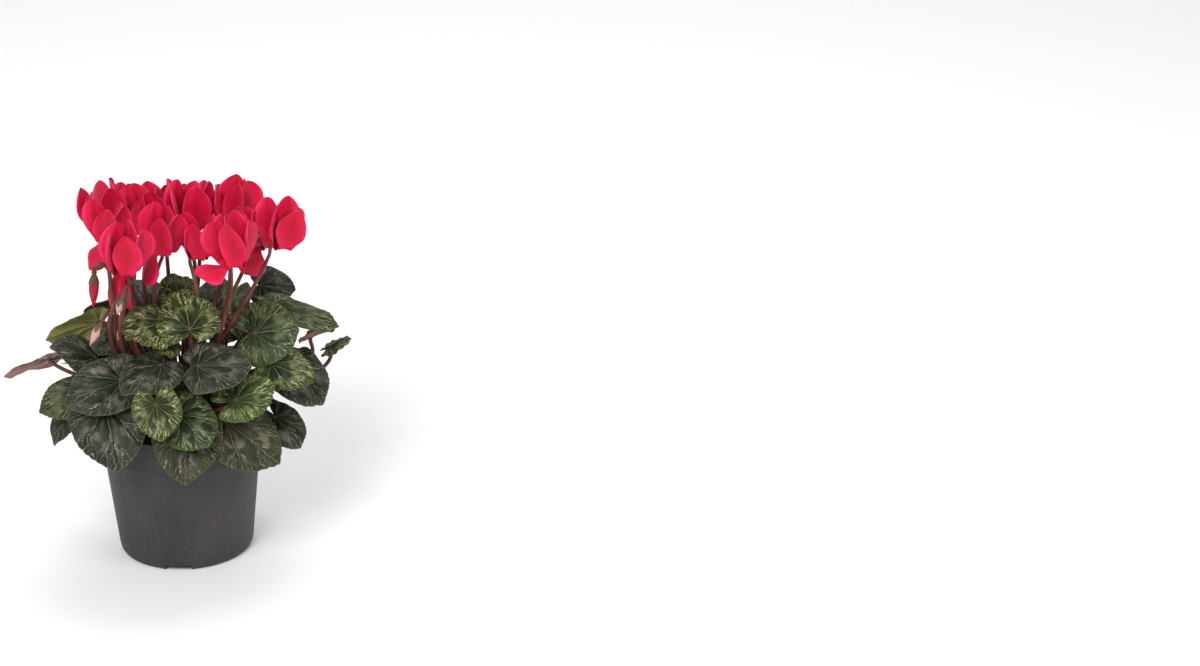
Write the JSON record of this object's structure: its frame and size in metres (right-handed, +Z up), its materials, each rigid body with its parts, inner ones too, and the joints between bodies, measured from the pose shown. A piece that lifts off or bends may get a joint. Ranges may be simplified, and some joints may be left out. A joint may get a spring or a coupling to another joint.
{
  "type": "potted cyclamen",
  "caption": "Flowering cyclamen in a plain nursery pot: marbled heart-shaped leaves under upswept red blooms on bare stalks.",
  "frame": {"origin": "middle of the pot's underside, on the surface that the pot stands on", "axes": "+Z up along the pot's axis, -Y towards the plant's front, +X to the right seen from the front"},
  "size_m": [0.2273, 0.1697, 0.2474],
  "materials": {
    "pot": "matte",
    "soil": "matte",
    "stalk": "satin",
    "leaf": "satin",
    "petal": "satin",
    "bud": "satin"
  },
  "bodies": {
    "root": {"pot": "pot", "soil": "soil", "corm_and_stalks": "stalk", "leaf_01": "leaf", "leaf_02": "leaf", "leaf_03": "leaf", "leaf_04": "leaf", "leaf_05": "leaf", "leaf_06": "leaf", "leaf_07": "leaf", "leaf_08": "leaf", "leaf_09": "leaf", "leaf_10": "leaf", "leaf_11": "leaf", "leaf_12": "leaf", "leaf_13": "leaf", "leaf_14": "leaf", "leaf_15": "leaf", "leaf_16": "leaf", "leaf_17": "leaf", "leaf_18": "leaf", "leaf_19": "leaf", "leaf_20": "leaf", "leaf_21": "leaf", "leaf_22": "leaf", "leaf_23": "leaf", "leaf_24": "leaf", "leaf_25": "leaf", "leaf_26": "leaf", "leaf_27": "leaf", "leaf_28": "leaf", "leaf_29": "leaf", "leaf_30": "leaf", "leaf_31": "leaf", "leaf_32": "leaf", "leaf_33": "leaf", "leaf_34": "leaf", "leaf_35": "leaf", "leaf_36": "leaf", "leaf_37": "leaf", "bloom_01": "petal", "bloom_02": "petal", "bloom_03": "petal", "bloom_04": "petal", "bloom_05": "petal", "bloom_06": "petal", "bloom_07": "petal", "bloom_08": "petal", "bloom_09": "petal", "bloom_10": "petal", "bloom_11": "petal", "bloom_12": "petal", "bloom_13": "petal", "bloom_14": "petal", "bloom_15": "petal", "opening_flower": "petal", "bud_01": "bud", "bud_02": "bud", "bud_03": "bud", "bud_04": "bud"}
  },
  "joints": []
}
